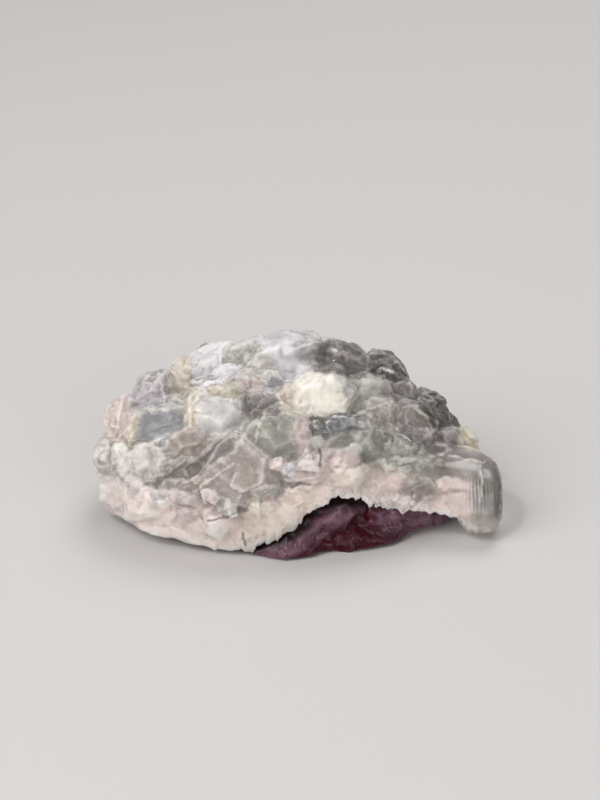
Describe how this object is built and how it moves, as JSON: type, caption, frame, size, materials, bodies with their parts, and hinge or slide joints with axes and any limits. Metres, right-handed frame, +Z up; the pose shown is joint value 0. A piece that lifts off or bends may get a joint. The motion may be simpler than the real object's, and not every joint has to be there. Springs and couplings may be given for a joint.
{
  "type": "bicolor fluorite specimen",
  "caption": "Hand-size mineral specimen: a domed crust of pale, translucent, intergrown fluorite crystals on a base of dark purple fluorite.",
  "frame": {"origin": "middle of the specimen's outline in plan, on the plane of the flat cleavage face that it rests on", "axes": "+X along the specimen's length towards the clear end lobe, -Y towards the display side with the broken rim, +Z up"},
  "size_m": [0.0898, 0.059, 0.0359],
  "materials": {
    "pale_fluorite": "satin",
    "purple_fluorite": "satin"
  },
  "bodies": {
    "root": {"pale_crystal_crust": "pale_fluorite", "purple_base": "purple_fluorite"}
  },
  "joints": []
}
